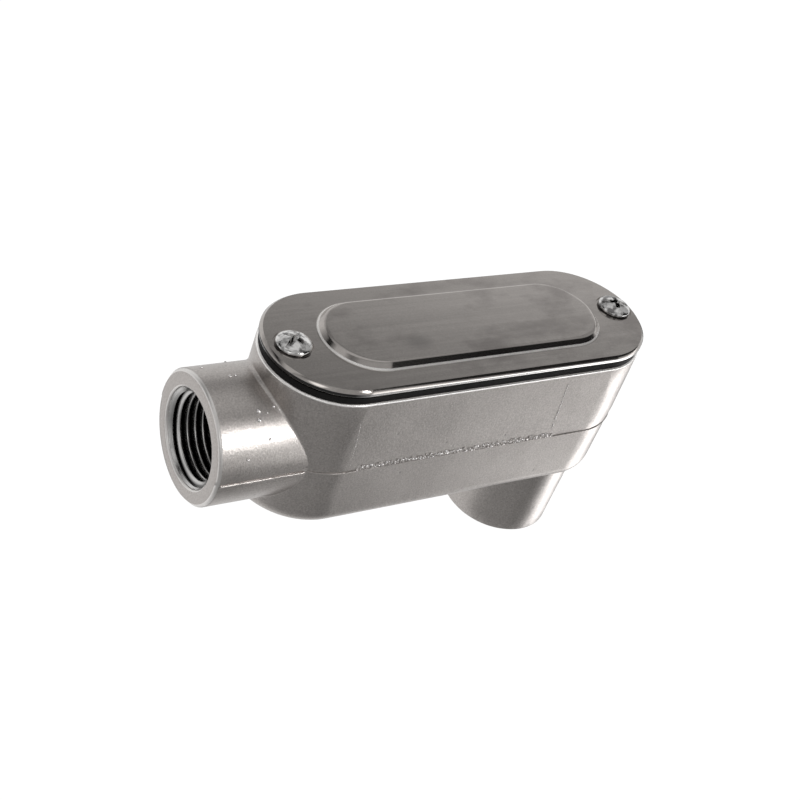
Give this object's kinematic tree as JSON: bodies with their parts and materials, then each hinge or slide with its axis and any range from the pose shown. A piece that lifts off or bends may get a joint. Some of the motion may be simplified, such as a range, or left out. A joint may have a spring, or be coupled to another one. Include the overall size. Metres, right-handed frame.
{
  "type": "conduit body",
  "caption": "Right-angle electrical conduit body in die-cast aluminium, with an end hub, a back hub and a gasketed, screwed-on access cover.",
  "frame": {"origin": "centre of the back hub's thread at its outer end, 0.6 mm inside the mouth", "axes": "+Z along the back hub's axis, up through the cover; the end hub's mouth faces -X; +Y is across the body"},
  "size_m": [0.1116, 0.0338, 0.0613],
  "materials": {
    "cast_aluminium": "die-cast, satin, finely pitted",
    "pressed_aluminium": "pressed sheet, smooth satin with faint lengthwise streaks",
    "gasket_rubber": "matt black",
    "plated_steel": "bright plated"
  },
  "bodies": {
    "root": {"body_casting": "cast_aluminium", "cover": "pressed_aluminium", "gasket": "gasket_rubber", "cover_screw_hub_end": "plated_steel", "cover_screw_far_end": "plated_steel"}
  },
  "joints": []
}
